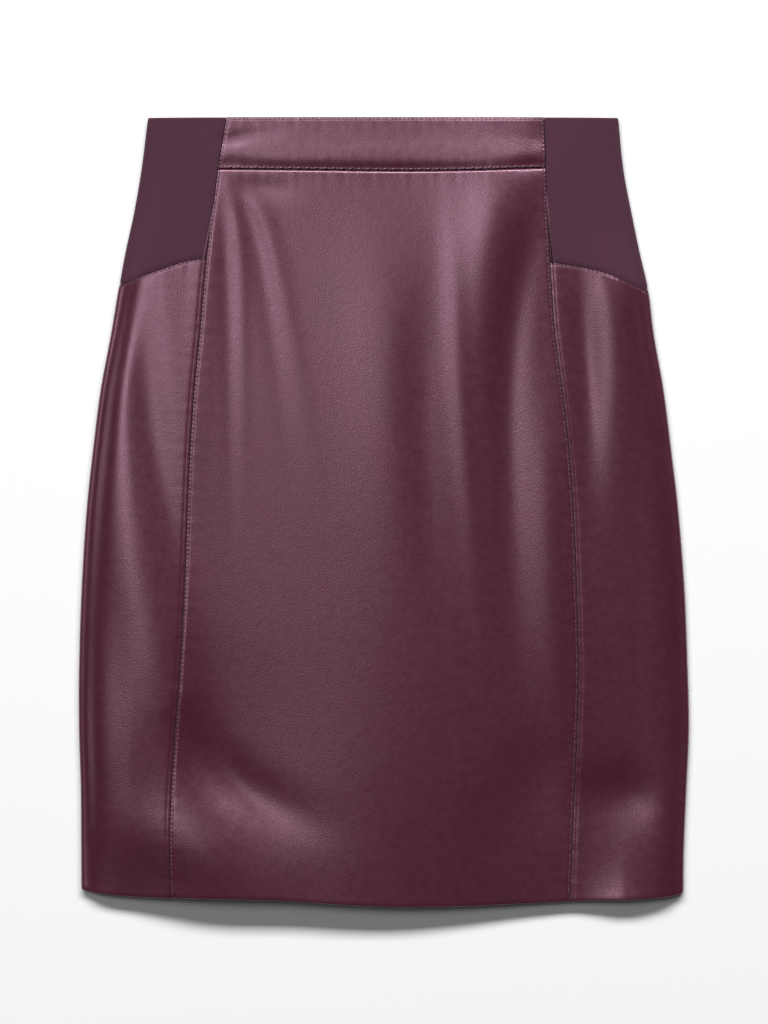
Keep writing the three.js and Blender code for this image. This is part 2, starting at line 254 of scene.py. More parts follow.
class SkirtSizes(bpy.types.PropertyGroup):
    """Sizes of the skirt that a user may change."""

    fold_radius: bpy.props.FloatProperty(
        name="Side fold radius", description="Outer radius of the rounded side folds",
        default=3 * MM, unit="LENGTH")
    rise_reach: bpy.props.FloatProperty(
        name="Rise reach", description="How far in from a side fold the front is half-way up",
        default=10 * MM, unit="LENGTH")
    seam_gap: bpy.props.FloatProperty(
        name="Seam gap", description="Space between two pieces at a seam",
        default=0.3 * MM, unit="LENGTH")
    leather_wall: bpy.props.FloatProperty(
        name="Leather thickness", description="One layer of garment leather",
        default=1.1 * MM, unit="LENGTH")
    band_wall: bpy.props.FloatProperty(
        name="Waistband thickness", description="Doubled and interfaced leather of the waistband",
        default=2.3 * MM, unit="LENGTH")
    elastic_wall: bpy.props.FloatProperty(
        name="Elastic thickness", description="Woven elastic of the side insets",
        default=1.5 * MM, unit="LENGTH")
    band_lift: bpy.props.FloatProperty(
        name="Waistband lift", description="How far the waistband stands proud of the panel",
        default=1 * MM, unit="LENGTH")
    elastic_drop: bpy.props.FloatProperty(
        name="Elastic drop", description="How far the elastic lies below the leather",
        default=0.5 * MM, unit="LENGTH")
    hem_turn: bpy.props.FloatProperty(
        name="Hem turning", description="Height of the hem turned up inside",
        default=30 * MM, unit="LENGTH")
    hem_radius: bpy.props.FloatProperty(
        name="Hem bend radius", description="Outer radius of the bend at the hem's edge",
        default=1.25 * MM, unit="LENGTH")
    stitch_pitch: bpy.props.FloatProperty(
        name="Stitch pitch", description="Distance from one stitch to the next",
        default=3.4 * MM, unit="LENGTH")
    stitch_length: bpy.props.FloatProperty(
        name="Stitch length", description="Length of thread that shows in one stitch",
        default=2.6 * MM, unit="LENGTH")
    thread_width: bpy.props.FloatProperty(
        name="Thread width", description="Width of the sewing thread",
        default=0.5 * MM, unit="LENGTH")


class SkirtColours(bpy.types.PropertyGroup):
    """Colours of the skirt and its studio that a user may change."""

    leather: bpy.props.FloatVectorProperty(
        name="Leather", description="Burgundy of the leather", subtype="COLOR",
        min=0, max=1, default=linear("#3c1120"))
    leather_light: bpy.props.FloatVectorProperty(
        name="Leather, worn lighter", description="Lighter burgundy in the leather's soft mottling",
        subtype="COLOR", min=0, max=1, default=linear("#461526"))
    elastic: bpy.props.FloatVectorProperty(
        name="Elastic", description="Dark threads of the elastic", subtype="COLOR",
        min=0, max=1, default=linear("#371727"))
    elastic_light: bpy.props.FloatVectorProperty(
        name="Elastic, raised threads", description="Lighter threads of the elastic",
        subtype="COLOR", min=0, max=1, default=linear("#522b3f"))
    # Paler than the leather in part as a painted highlight, for the light that the stitches catch
    thread: bpy.props.FloatVectorProperty(
        name="Thread", description="Sewing thread", subtype="COLOR",
        min=0, max=1, default=linear("#8f6073"))
    floor: bpy.props.FloatVectorProperty(
        name="Floor", description="Pale studio floor", subtype="COLOR",
        min=0, max=1, default=linear("#efefef"))


def in_mm(name):
    """One of the user's sizes in millimetres."""
    return getattr(bpy.context.scene.skirt_sizes, name) / MM


def table(columns, rows):
    """A short table as one array for each named column."""
    return dict(zip(columns.split(), np.array(rows, float).T))


SECTIONS = table(SECTION_COLUMNS, SECTION_ROWS)
BAND = table(BAND_COLUMNS, BAND_ROWS)
HEM = table(HEM_COLUMNS, HEM_ROWS)
FOOT = table(FOOT_COLUMNS, FOOT_ROWS)
LOFT = table(LOFT_COLUMNS, LOFT_ROWS)


def curve_through(keys, values, at):
    """A smooth curve through table rows, read at many places; values may differ from place to place."""
    keys, values = np.asarray(keys, float), np.asarray(values, float)
    last = len(keys) - 1
    at = np.clip(at, keys[0], keys[-1])
    here = np.clip(np.searchsorted(keys, at, side="right") - 1, 0, last - 1)
    after = np.minimum(np.arange(last + 1) + 1, last)
    before = np.maximum(np.arange(last + 1) - 1, 0)
    gaps = (keys[after] - keys[before]).reshape([-1] + [1] * (values.ndim - 1))
    slopes = (values[after] - values[before]) / gaps
    pick = (here,) if values.ndim == 1 else (here, np.arange(values.shape[1]))
    pick_next = (here + 1,) + pick[1:]
    span = keys[here + 1] - keys[here]
    t = (at - keys[here]) / span
    rise = values[pick_next] - values[pick]
    bend = (1 - t) * (slopes[pick] * span - rise) + t * (rise - slopes[pick_next] * span)
    return values[pick] + t * rise + t * (1 - t) * bend


def sign_of(side):
    return -1 if side == "left" else 1


def fold_x(side, y):
    return sign_of(side) * curve_through(SECTIONS["down"], SECTIONS[side + "_fold"], WAIST_Y - y)


def seam_x(side, y):
    return sign_of(side) * curve_through(SECTIONS["down"], SECTIONS[side + "_seam"], WAIST_Y - y)


def hem_y(x):
    return WAIST_Y - curve_through(HEM["x"], HEM["down"], x)


def waist_y(x):
    return np.full_like(x, WAIST_Y)


def band_seam_y(x):
    return WAIST_Y - curve_through(BAND["x"], BAND["down"], x)


def foot_y(side, x):
    """The lower seam of an elastic inset."""
    fold = np.abs(fold_x(side, np.array([WAIST_Y - FOOT_NOMINAL[side]])))[0]
    inward = np.maximum(0, fold - np.abs(x))
    return WAIST_Y - curve_through(FOOT["inward"], FOOT[side], inward)


def crease_height(creases, x, y):
    """The sum of the folds in one table, as soft ridges and troughs along curved lines."""
    total = np.zeros_like(x)
    ts = np.linspace(0, 1, FOLD_SEGMENTS + 1)
    for _, head, mid, foot, peak, width, height in creases:
        ends = np.array([head, mid, foot], float)
        line_x = curve_through([0, 0.5, 1], ends[:, 0], ts)
        line_y = WAIST_Y - curve_through([0, 0.5, 1], ends[:, 1], ts)
        reach = FOLD_REACH * width
        near = (x > line_x.min() - reach) & (x < line_x.max() + reach)
        near &= (y > line_y.min() - reach) & (y < line_y.max() + reach)
        near_x, near_y = x[near], y[near]
        nearest = np.full_like(near_x, np.inf)
        along = np.zeros_like(near_x)
        for k in range(FOLD_SEGMENTS):
            dx, dy = line_x[k + 1] - line_x[k], line_y[k + 1] - line_y[k]
            t = ((near_x - line_x[k]) * dx + (near_y - line_y[k]) * dy) / (dx * dx + dy * dy)
            t = np.clip(t, 0, 1)
            gap = (near_x - line_x[k] - t * dx) ** 2 + (near_y - line_y[k] - t * dy) ** 2
            along = np.where(gap < nearest, (k + t) / FOLD_SEGMENTS, along)
            nearest = np.minimum(gap, nearest)
        fade = np.sin(np.pi * along ** (math.log(0.5) / math.log(peak))) ** 2
        total[near] += height * np.exp(-nearest / width ** 2) * fade
    return total


def loft_height(x, y):
    lines = np.array([curve_through(LOFT["down"], LOFT[name], WAIST_Y - y)
                      for name in LOFT_COLUMNS.split()[1:]])
    return curve_through(LOFT_X, lines, x)


def front_height(x, y):
    """Height of the front's upper face above the floor."""
    edge = np.where(x < 0, -fold_x("left", y), fold_x("right", y))
    radius, reach = in_mm("fold_radius"), in_mm("rise_reach")
    inward = np.maximum(0, edge - radius - np.abs(x))
    rise = inward ** 2 / (inward ** 2 + reach ** 2)
    return 2 * radius + rise * (loft_height(x, y) + crease_height(FOLDS + CREASES, x, y))


def unit(vectors):
    return vectors / np.linalg.norm(vectors, axis=-1, keepdims=True)


def front_points(x, y, lift):
    """Points of the front's upper face and their outward directions."""
    slope_x = (front_height(x + NEARBY, y) - front_height(x - NEARBY, y)) / (2 * NEARBY)
    slope_y = (front_height(x, y + NEARBY) - front_height(x, y - NEARBY)) / (2 * NEARBY)
    points = np.column_stack([x, y, front_height(x, y) + lift])
    return points, unit(np.column_stack([-slope_x, -slope_y, np.ones_like(x)]))


def back_points(x, y):
    """Points of the back's lower face, flat on the floor, and their outward directions."""
    zero = np.zeros_like(x)
    return np.column_stack([x, y, zero]), np.column_stack([zero, zero, zero - 1])


class MiddleCut:
    """A piece between the two long seams; run goes from the left seam at 0 to the right at 1."""

    def __init__(self, layer, lift=0.0):
        self.layer = layer
        self.lift = lift

    def x_at(self, run, y):
        half_gap = in_mm("seam_gap") / 2
        left, right = seam_x("left", y) + half_gap, seam_x("right", y) - half_gap
        return left + (right - left) * run

    def face(self, run, y):
        x = self.x_at(run, y)
        return front_points(x, y, self.lift) if self.layer == "front" else back_points(x, y)


class SideCut:
    """A piece that wraps a side fold: run is 0 to 1 in front, 1 to 2 round the fold, 2 to 3 behind."""

    def __init__(self, side, lift=0.0):
        self.side = side
        self.sign = sign_of(side)
        self.lift = lift

    def ends(self, y):
        seam = seam_x(self.side, y) + self.sign * in_mm("seam_gap") / 2
        return seam, fold_x(self.side, y) - self.sign * in_mm("fold_radius")

    def x_at(self, run, y):
        seam, turn = self.ends(y)
        angle = math.pi * (0.5 - np.clip(run - 1, 0, 1))
        radius = in_mm("fold_radius") + self.lift / 2
        flat = np.where(run <= 1, seam + (turn - seam) * run, turn + (seam - turn) * (run - 2))
        return np.where((run > 1) & (run < 2), turn + self.sign * radius * np.cos(angle), flat)

    def face(self, run, y):
        x = self.x_at(run, y)
        on_front, on_fold = run <= 1, (run > 1) & (run < 2)
        angle = math.pi * (0.5 - np.clip(run - 1, 0, 1))
        radius = in_mm("fold_radius") + self.lift / 2
        points, outward = back_points(x, y)
        front, front_outward = front_points(x, y, self.lift)
        round_outward = np.column_stack([self.sign * np.cos(angle), 0 * x, np.sin(angle)])
        points[on_front], outward[on_front] = front[on_front], front_outward[on_front]
        points[on_fold, 2] = (radius + radius * np.sin(angle))[on_fold]
        outward[on_fold] = round_outward[on_fold]
        return points, outward


def settle(cut, run, v, upper, lower):
    """The y of each grid point, v of the way from the upper to the lower edge line."""
    y = WAIST_Y * (1 - 2 * v)
    for _ in range(4):
        x = cut.x_at(run, y)
        y = upper(x) * (1 - v) + lower(x) * v
    return y


def dip(distance, size):
    depth, reach = size
    return -depth * np.exp(-(distance / reach) ** 2)


def channel(distance):
    """The shallow groove that a row of stitches pulls into the leather."""
    depth, reach = CHANNEL
    return -depth * np.exp(-((distance - STITCH_INSET) / reach) ** 2)


def pucker(run, distance, phase):
    """Small uneven waves beside a row of stitches."""
    waves = sum(weight * np.sin(2 * math.pi * run / length + shift + phase)
                for length, weight, shift in PUCKER_WAVES)
    return PUCKER_HEIGHT * waves * np.exp(-distance / PUCKER_REACH)


def graded(length, middle_step, fine_ends=(True, True)):
    """Stops from 0 to 1, closer together at the sewn ends."""
    start = EDGE_STOPS if fine_ends[0] else [0]
    end = [length - stop for stop in reversed(EDGE_STOPS)] if fine_ends[1] else [length]
    count = max(1, round((end[0] - start[-1]) / middle_step))
    middle = np.linspace(start[-1], end[0], count + 1)[1:-1]
    return np.concatenate([start, middle, end]) / length


def plain_rows(stops):
    """Rows of a piece with no turned hem, as (v, bend angle, distance turned up)."""
    return [(v, 0.0, 0.0) for v in stops]


def hemmed_rows(stops):
    """Rows that run on round the hem's bend and up inside."""
    bend = [(1.0, angle, 0.0) for angle in np.linspace(0, math.pi, HEM_LINES)[1:]]
    turned = [(1.0, math.pi, rise) for rise in np.linspace(0, in_mm("hem_turn"), HEM_LINES)[1:]]
    return plain_rows(stops) + bend + turned


def cloth_piece(name, cut, runs, rows, upper, lower, relief, wall, material, edges):
    """One sewn piece: a grid laid on its cut's face, given its thickness, with soft edges."""
    bm = bmesh.new()
    bmesh.ops.create_grid(bm, x_segments=len(runs) - 1, y_segments=len(rows) - 1, size=0.5)
    stops = np.array([(v.co.x + 0.5, v.co.y + 0.5) for v in bm.verts])
    column = np.rint(stops[:, 0] * (len(runs) - 1)).astype(int)
    row = np.rint(stops[:, 1] * (len(rows) - 1)).astype(int)
    run = np.asarray(runs, float)[column]
    v, bend, turned = np.array(rows, float)[row].T
    y = settle(cut, run, v, upper, lower)
    x = cut.x_at(run, y)
    face, outward = cut.face(run, y + turned)
    below, _ = cut.face(run, y + turned - NEARBY)
    downward = unit(below - face)
    radius = in_mm("hem_radius")
    around = outward * (np.cos(bend) - 1)[:, None] + downward * np.sin(bend)[:, None]
    inside = (turned > 0) | (bend > 0)
    shape = relief(x, y, run)
    points = (face + outward * shape[:, None] + around * radius) * MM
    for vert, point in zip(bm.verts, points):
        vert.co = point
    bm.normal_update()
    first = next(iter(bm.faces))
    middle = np.argmin(np.linalg.norm(points - np.array(first.calc_center_median()), axis=1))
    if first.normal.dot(Vector(outward[middle] * (-1 if bend[middle] > 2 else 1))) < 0:
        bmesh.ops.reverse_faces(bm, faces=bm.faces)
    mesh = bpy.data.meshes.new(name)
    bm.to_mesh(mesh)
    bm.free()
    across = x if isinstance(cut, MiddleCut) else cloth_run(cut, run, y)
    add_map(mesh, "cloth", across * MM, (WAIST_Y - y + turned) * MM)
    distance, along = edges(x, y, run)
    add_value(mesh, "edge_distance", np.where(inside, FAR, distance))
    add_value(mesh, "edge_run", along)
    piece = smooth_object(name, mesh, material)
    solid = piece.modifiers.new("Thickness", "SOLIDIFY")
    solid.thickness = wall * MM
    solid.offset = -1
    solid.use_even_offset = False
    rounding = piece.modifiers.new("Soft cut edges", "BEVEL")
    rounding.limit_method = "ANGLE"
    rounding.angle_limit = math.radians(60)
    rounding.width = min(0.45, wall * 0.35) * MM
    rounding.segments = 3
    return piece


def smooth_object(name, mesh, material):
    """A smoothly shaded object of one material, placed in the scene."""
    mesh.polygons.foreach_set("use_smooth", [True] * len(mesh.polygons))
    mesh.materials.append(material)
    piece = bpy.data.objects.new(name, mesh)
    bpy.context.scene.collection.objects.link(piece)
    return piece


def cloth_run(cut, run, y):
    """Distance round a side piece from its front seam, along the cloth."""
    seam, turn = cut.ends(y)
    flat = np.abs(turn - seam)
    bend = math.pi * in_mm("fold_radius")
    return flat * np.clip(run, 0, 1) + bend * np.clip(run - 1, 0, 1) + flat * np.clip(run - 2, 0, 1)


def add_map(mesh, name, across, down):
    """A UV map in metres, from one pair of values for each vertex."""
    layer = mesh.uv_layers.new(name=name)
    corner = np.zeros(len(mesh.loops), int)
    mesh.loops.foreach_get("vertex_index", corner)
    layer.data.foreach_set("uv", np.column_stack([across, down])[corner].ravel())


def add_value(mesh, name, values):
    attribute = mesh.attributes.new(name, "FLOAT", "POINT")
    attribute.data.foreach_set("value", np.asarray(values, float))


def finish_piece(piece, nodes):
    """Puts a finished piece in the place of its solids, which it hides, and attaches it to the body."""
    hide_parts(*nodes)
    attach(piece, BODY)


def add_node(tree, kind, settings=None, sockets=None):
    """Adds a node, sets its own settings and fills its sockets with values or links."""
    made = tree.nodes.new(kind)
    for name, value in (settings or {}).items():
        setattr(made, name, value)
    for name, value in (sockets or {}).items():
        if isinstance(value, bpy.types.NodeSocket):
            tree.links.new(value, made.inputs[name])
        else:
            made.inputs[name].default_value = value
    return made


def new_material(name):
    material = bpy.data.materials.get(name) or bpy.data.materials.new(name)
    material.use_nodes = True
    material.node_tree.nodes.clear()
    return material, material.node_tree


def finish_material(tree, shader):
    add_node(tree, "ShaderNodeOutputMaterial", sockets={"Surface": shader.outputs[0]})


def opaque(colour):
    return (*colour, 1.0)


def leather_material():
    """Coated nappa leather: a fine even grain under a soft satin finish, so its lights are broad,
    slightly speckled and paler than the burgundy."""
    # A Mix node's factor is its socket 0, its two numbers are 2 and 3 and its two colours 6 and 7
    colours = bpy.context.scene.skirt_colours
    material, tree = new_material("Coated nappa leather")
    place = add_node(tree, "ShaderNodeTexCoord").outputs["Object"]
    # Soft mottling about 35 mm wide
    mottle = add_node(tree, "ShaderNodeTexNoise", sockets={
        "Vector": place, "Scale": 1 / (35 * MM), "Detail": 3.0, "Roughness": 0.55})
    # Grain cells are about 0.7 mm on such leather; drawn at 1.2 mm so that they show
    grain = add_node(tree, "ShaderNodeTexNoise", sockets={
        "Vector": place, "Scale": 1 / (1.2 * MM), "Detail": 1.0, "Roughness": 0.5})
    # Faint creases and unevenness about 6 mm apart
    crease = add_node(tree, "ShaderNodeTexNoise", sockets={
        "Vector": place, "Scale": 1 / (6 * MM), "Detail": 4.0, "Roughness": 0.6})
    base = add_node(tree, "ShaderNodeMix", {"data_type": "RGBA"}, {
        0: mottle.outputs["Fac"], 6: opaque(colours.leather), 7: opaque(colours.leather_light)})
    satin = add_node(tree, "ShaderNodeMapRange", sockets={
        "Value": crease.outputs["Fac"], "From Min": 0.3, "From Max": 0.7, "To Min": 0.31, "To Max": 0.37})
    fine = add_node(tree, "ShaderNodeBump", sockets={
        "Strength": 1.0, "Distance": 0.085 * MM, "Height": grain.outputs["Fac"]})
    broad = add_node(tree, "ShaderNodeBump", sockets={
        "Strength": 1.0, "Distance": 0.045 * MM, "Height": crease.outputs["Fac"],
        "Normal": fine.outputs["Normal"]})
    # Where shade is painted near-black (needle holes and a line along each sewn edge), and the pull of the
    # stitches
    holes, pull = painted_shade_and_pull(tree)
    rough = add_node(tree, "ShaderNodeMix", {"data_type": "FLOAT"}, {
        0: holes, 2: satin.outputs["Result"], 3: 1.0})
    sewn = add_node(tree, "ShaderNodeBump", sockets={
        "Strength": 1.0, "Distance": 0.15 * MM, "Height": pull, "Normal": broad.outputs["Normal"]})
    # Painted shade: near-black colour in the needle holes and in a thin line along each sewn edge
    painted_shade = add_node(tree, "ShaderNodeMix", {"data_type": "RGBA"}, {
        0: holes, 6: base.outputs[2], 7: opaque(linear(PAINTED_SHADE_COLOUR))})
    shader = add_node(tree, "ShaderNodeBsdfPrincipled", sockets={
        "Base Color": painted_shade.outputs[2], "Roughness": rough.outputs[0],
        "Normal": sewn.outputs["Normal"], "IOR": 2.1, "Specular Tint": opaque(linear(SHINE_COLOUR))})
    finish_material(tree, shader)
    return material


def painted_shade_and_pull(tree):
    """Painted shade: a mask of near-black dots for the needle holes between the stitches and of a thin
    near-black line along each sewn edge;
    and the pull of each stitch on the edge, from the distance to the sewn edge and the run along it in
    millimetres."""
    away = add_node(tree, "ShaderNodeAttribute", {"attribute_name": "edge_distance"})
    run = add_node(tree, "ShaderNodeAttribute", {"attribute_name": "edge_run"})
    turn = add_node(tree, "ShaderNodeMath", {"operation": "MULTIPLY"}, {
        0: run.outputs["Fac"], 1: 2 * math.pi / in_mm("stitch_pitch")})
    wave = add_node(tree, "ShaderNodeMath", {"operation": "COSINE"}, {0: turn.outputs[0]})
    offset = add_node(tree, "ShaderNodeMath", {"operation": "SUBTRACT"}, {
        0: away.outputs["Fac"], 1: STITCH_INSET})
    apart = add_node(tree, "ShaderNodeMath", {"operation": "ABSOLUTE"}, {0: offset.outputs[0]})
    between = add_node(tree, "ShaderNodeMath", {"operation": "GREATER_THAN"}, {
        0: wave.outputs[0], 1: HOLE_START})
    in_row = add_node(tree, "ShaderNodeMath", {"operation": "LESS_THAN"}, {
        0: apart.outputs[0], 1: HOLE_RADIUS})
    # Painted shade in the needle holes, between the stitches of the stitch row
    hole = add_node(tree, "ShaderNodeMath", {"operation": "MULTIPLY"}, {
        0: between.outputs[0], 1: in_row.outputs[0]})
    # Painted shade: a thin line along each sewn edge
    edge_shade = add_node(tree, "ShaderNodeMath", {"operation": "LESS_THAN"}, {
        0: away.outputs["Fac"], 1: EDGE_SHADE_WIDTH})
    painted_shade = add_node(tree, "ShaderNodeMath", {"operation": "MAXIMUM"}, {
        0: hole.outputs[0], 1: edge_shade.outputs[0]})
    ratio = add_node(tree, "ShaderNodeMath", {"operation": "DIVIDE"}, {
        0: away.outputs["Fac"], 1: STITCH_INSET})
    square = add_node(tree, "ShaderNodeMath", {"operation": "MULTIPLY"}, {
        0: ratio.outputs[0], 1: ratio.outputs[0]})
    falling = add_node(tree, "ShaderNodeMath", {"operation": "MULTIPLY"}, {
        0: square.outputs[0], 1: -PULL_FADE})
    fade = add_node(tree, "ShaderNodeMath", {"operation": "EXPONENT"}, {0: falling.outputs[0]})
    tight = add_node(tree, "ShaderNodeMath", {"operation": "MULTIPLY_ADD"}, {
        0: wave.outputs[0], 1: -0.5, 2: 0.5})
    pull = add_node(tree, "ShaderNodeMath", {"operation": "MULTIPLY"}, {
        0: tight.outputs[0], 1: fade.outputs[0]})
    return painted_shade.outputs[0], pull.outputs[0]


# A wave texture of scale 1 makes this many radians of its wave in one unit
WAVE_TURNS = 20


def elastic_material():
    """Woven elastic: matt covered rubber threads in a fine slanting rib, which scatter the light
    evenly and look flat and soft beside the leather."""
    colours = bpy.context.scene.skirt_colours
    material, tree = new_material("Woven elastic")
    spot = add_node(tree, "ShaderNodeUVMap", {"uv_map": "cloth"}).outputs["UV"]
    # The real ribs are about 0.8 mm apart; drawn 1.5 mm apart so that they show
    slant = add_node(tree, "ShaderNodeMapping", sockets={
        "Vector": spot, "Rotation": (0, 0, math.radians(38))})
    ribs = add_node(tree, "ShaderNodeTexWave", {"wave_type": "BANDS", "bands_direction": "X"}, {
        "Vector": slant.outputs[0], "Scale": 2 * math.pi / (WAVE_TURNS * 1.5 * MM),
        "Distortion": 1.2, "Detail": 1.0, "Detail Scale": 1.5})
    fuzz = add_node(tree, "ShaderNodeTexNoise", sockets={
        "Vector": spot, "Scale": 1 / (1.1 * MM), "Detail": 2.0, "Roughness": 0.6})
    woven = add_node(tree, "ShaderNodeMath", {"operation": "MULTIPLY"}, {
        0: ribs.outputs["Fac"], 1: fuzz.outputs["Fac"]})
    weave = add_node(tree, "ShaderNodeMapRange", sockets={
        "Value": woven.outputs[0], "From Min": 0.05, "From Max": 0.45}).outputs["Result"]
    colour = add_node(tree, "ShaderNodeMix", {"data_type": "RGBA"}, {
        0: weave, 6: opaque(colours.elastic), 7: opaque(colours.elastic_light)})
    bump = add_node(tree, "ShaderNodeBump", sockets={
        "Strength": 0.8, "Distance": 0.2 * MM, "Height": weave})
    shader = add_node(tree, "ShaderNodeBsdfPrincipled", sockets={
        "Base Color": colour.outputs[2], "Roughness": 0.88, "Normal": bump.outputs["Normal"],
        "Sheen Weight": 0.1, "Sheen Roughness": 0.5, "Specular IOR Level": 0.3})
    finish_material(tree, shader)
    return material


def thread_material():
    """Polyester sewing thread: twisted and slightly shiny, and coloured paler than the leather in part as
    a painted highlight, so each stitch shows as a pale tick.
    """
    material, tree = new_material("Polyester thread")
    colour = bpy.context.scene.skirt_colours.thread
    place = add_node(tree, "ShaderNodeTexCoord").outputs["Object"]
    # The twist of the thread is about 0.5 mm long
    twist = add_node(tree, "ShaderNodeTexNoise", sockets={
        "Vector": place, "Scale": 1 / (0.5 * MM), "Detail": 1.0})
    shade = add_node(tree, "ShaderNodeMix", {"data_type": "RGBA"}, {
        0: twist.outputs["Fac"], 6: opaque(colour), 7: opaque([0.5 * part for part in colour])})
    shader = add_node(tree, "ShaderNodeBsdfPrincipled", sockets={
        "Base Color": shade.outputs[2], "Roughness": 0.5})
    finish_material(tree, shader)
    return material


def floor_material():
    """Matt white paper: an even pale ground that only shows the soft shadow of the hem."""
    material, tree = new_material("Matt white paper")
    colour = opaque(bpy.context.scene.skirt_colours.floor)
    shader = add_node(tree, "ShaderNodeBsdfPrincipled", sockets={
        "Base Color": colour, "Roughness": 0.9, "Specular IOR Level": 0.1})
    finish_material(tree, shader)
    return material


def no_edges(x, y, run):
    return np.full_like(x, FAR), np.zeros_like(x)


def nearest_edge(*pairs):
    """Of several (distance, run) pairs, the nearest edge's."""
    distance = np.stack([d for d, _ in pairs])
    runs = np.stack([r for _, r in pairs])
    pick = np.argmin(distance, axis=0)
    return distance.min(axis=0), runs[pick, np.arange(len(pick))]


def seam_distances(x, y):
    half_gap = in_mm("seam_gap") / 2
    return x - seam_x("left", y) - half_gap, seam_x("right", y) - half_gap - x


def panel_relief(x, y, run):
    left, right = seam_distances(x, y)
    top = band_seam_y(x) - in_mm("seam_gap") / 2 - y
    sewn = dip(left, SEAM_DIP) + dip(right, SEAM_DIP) + dip(top, BAND_DIP)
    sewn += channel(left) + channel(right)
    return sewn + pucker(y, left, 0.3) + pucker(y, right, 1.9) + pucker(x, top, 4.0)


def panel_edges(x, y, run):
    left, right = seam_distances(x, y)
    return nearest_edge((left, y), (right, y))


def band_relief(x, y, run):
    left, right = seam_distances(x, y)
    top, low = WAIST_Y - y, y - band_seam_y(x)
    sewn = dip(left, SEAM_DIP) + dip(right, SEAM_DIP) + dip(top, BAND_EDGE_DIP) + dip(low, BAND_SAG)
    sewn += channel(top) + channel(left) + channel(right)
    return sewn + pucker(x, top, 0.8) + pucker(x, low, 2.6)


def band_edges(x, y, run):
    left, right = seam_distances(x, y)
    return nearest_edge((left, y), (right, y), (WAIST_Y - y, x), (y - band_seam_y(x), x))


def side_seam_distance(cut, x, y, run):
    seam, _ = cut.ends(y)
    return np.where((run > 1) & (run < 2), FAR, np.abs(x - seam))


def side_relief(cut):
    def relief(x, y, run):
        seam = side_seam_distance(cut, x, y, run)
        top = foot_y(cut.side, x) - y
        depth, reach, away = SIDE_GROOVE
        sewn = dip(seam, SEAM_DIP) + dip(seam - away, (depth, reach))
        sewn += dip(top, SIDE_TOP_DIP) + channel(top)
        return sewn + pucker(y, seam, 5.1) + pucker(cloth_run(cut, run, y), top, 3.3)
    return relief


def side_edges(cut):
    def edges(x, y, run):
        return foot_y(cut.side, x) - y, cloth_run(cut, run, y)
    return edges


def inset_relief(cut):
    def relief(x, y, run):
        seam = side_seam_distance(cut, x, y, run)
        low = y - foot_y(cut.side, x)
        return dip(seam, ELASTIC_DIP) + dip(low, ELASTIC_DIP) + dip(WAIST_Y - y, ELASTIC_TOP_DIP)
    return relief


def below_band(x):
    """The upper edge of a centre panel, a seam gap below the waistband."""
    return band_seam_y(x) - in_mm("seam_gap") / 2


def hem_bend_y(x):
    """Where a piece starts to bend round at its hem."""
    return hem_y(x) + in_mm("hem_radius")


def panel_relief_back(x, y, run):
    return np.minimum(0, panel_relief(x, y, run))


class SKIRT_OT_front_panel(bpy.types.Operator):
    """Makes the centre front panel with its turned-up hem"""

    bl_idname = "skirt.front_panel"
    bl_label = "Front panel"

    def execute(self, context):
        width, length = PANEL_SPAN
        rows = hemmed_rows(graded(length, STEP_DOWN, (True, False)))
        piece = cloth_piece(
            "front_panel_leather", MiddleCut("front"), graded(width, STEP_ACROSS), rows,
            below_band, hem_bend_y, panel_relief, in_mm("leather_wall"), leather_material(), panel_edges)
        finish_piece(piece, ["front_panel"])
        return {"FINISHED"}


class SKIRT_OT_back_panel(bpy.types.Operator):
    """Makes the plain centre back panel, flat on the floor, with its turned-up hem"""

    bl_idname = "skirt.back_panel"
    bl_label = "Back panel"

    def execute(self, context):
        width, length = PANEL_SPAN
        rows = hemmed_rows(graded(length, STEP_BACK_PANEL, (True, False)))
        piece = cloth_piece(
            "back_panel_leather", MiddleCut("back"), graded(width, STEP_BACK_PANEL), rows,
            below_band, hem_bend_y, panel_relief_back, in_mm("leather_wall"), leather_material(),
            panel_edges)
        finish_piece(piece, ["back_panel"])
        return {"FINISHED"}


class SKIRT_OT_side_panels(bpy.types.Operator):
    """Makes the two side panels, which wrap the side folds"""

    bl_idname = "skirt.side_panels"
    bl_label = "Side panels"

    def execute(self, context):
        for side in ("left", "right"):
            cut = SideCut(side)
            width, length = SIDE_SPAN
            rows = hemmed_rows(graded(length, STEP_DOWN, (True, False)))
            piece = cloth_piece(
                side + "_side_panel_leather", cut, wrapped_runs(width, STEP_ACROSS, STEP_BEHIND), rows,
                lambda x: foot_y(side, x) - in_mm("seam_gap") / 2, hem_bend_y,
                flat_behind(side_relief(cut)), in_mm("leather_wall"), leather_material(), side_edges(cut))
            finish_piece(piece, [side + "_side_panel"])
        return {"FINISHED"}


def flat_behind(relief):
    """The same relief, but with nothing raised where the piece rests on the floor."""
    def eased(x, y, run):
        shape = relief(x, y, run)
        return np.where(run > 1, np.minimum(0, shape), shape)
    return eased


def wrapped_runs(front_length, front_step, back_step):
    """Columns of a side piece: its front, round the fold and its back."""
    front = graded(front_length, front_step, (True, False))
    fold = 1 + np.linspace(0, 1, FOLD_LINES)[1:]
    back = 2 + (1 - graded(front_length, back_step, (True, False))[::-1])[1:]
    return np.concatenate([front, fold, back])


class SKIRT_OT_waistbands(bpy.types.Operator):
    """Makes the front and the back waistband"""

    bl_idname = "skirt.waistbands"
    bl_label = "Waistbands"

    def execute(self, context):
        width, length = BAND_SPAN
        for layer, step in (("front", STEP_ACROSS), ("back", STEP_BEHIND)):
            lift = in_mm("band_lift") if layer == "front" else 0.0
            piece = cloth_piece(
                layer + "_waistband_leather", MiddleCut(layer, lift), graded(width, step),
                plain_rows(graded(length, step / 2)), waist_y,
                lambda x: band_seam_y(x) + in_mm("seam_gap") / 2,
                band_relief if layer == "front" else band_relief_back,
                in_mm("band_wall"), leather_material(), band_edges)
            finish_piece(piece, [layer + "_waistband"])
        return {"FINISHED"}


def band_relief_back(x, y, run):
    return np.minimum(0, band_relief(x, y, run))


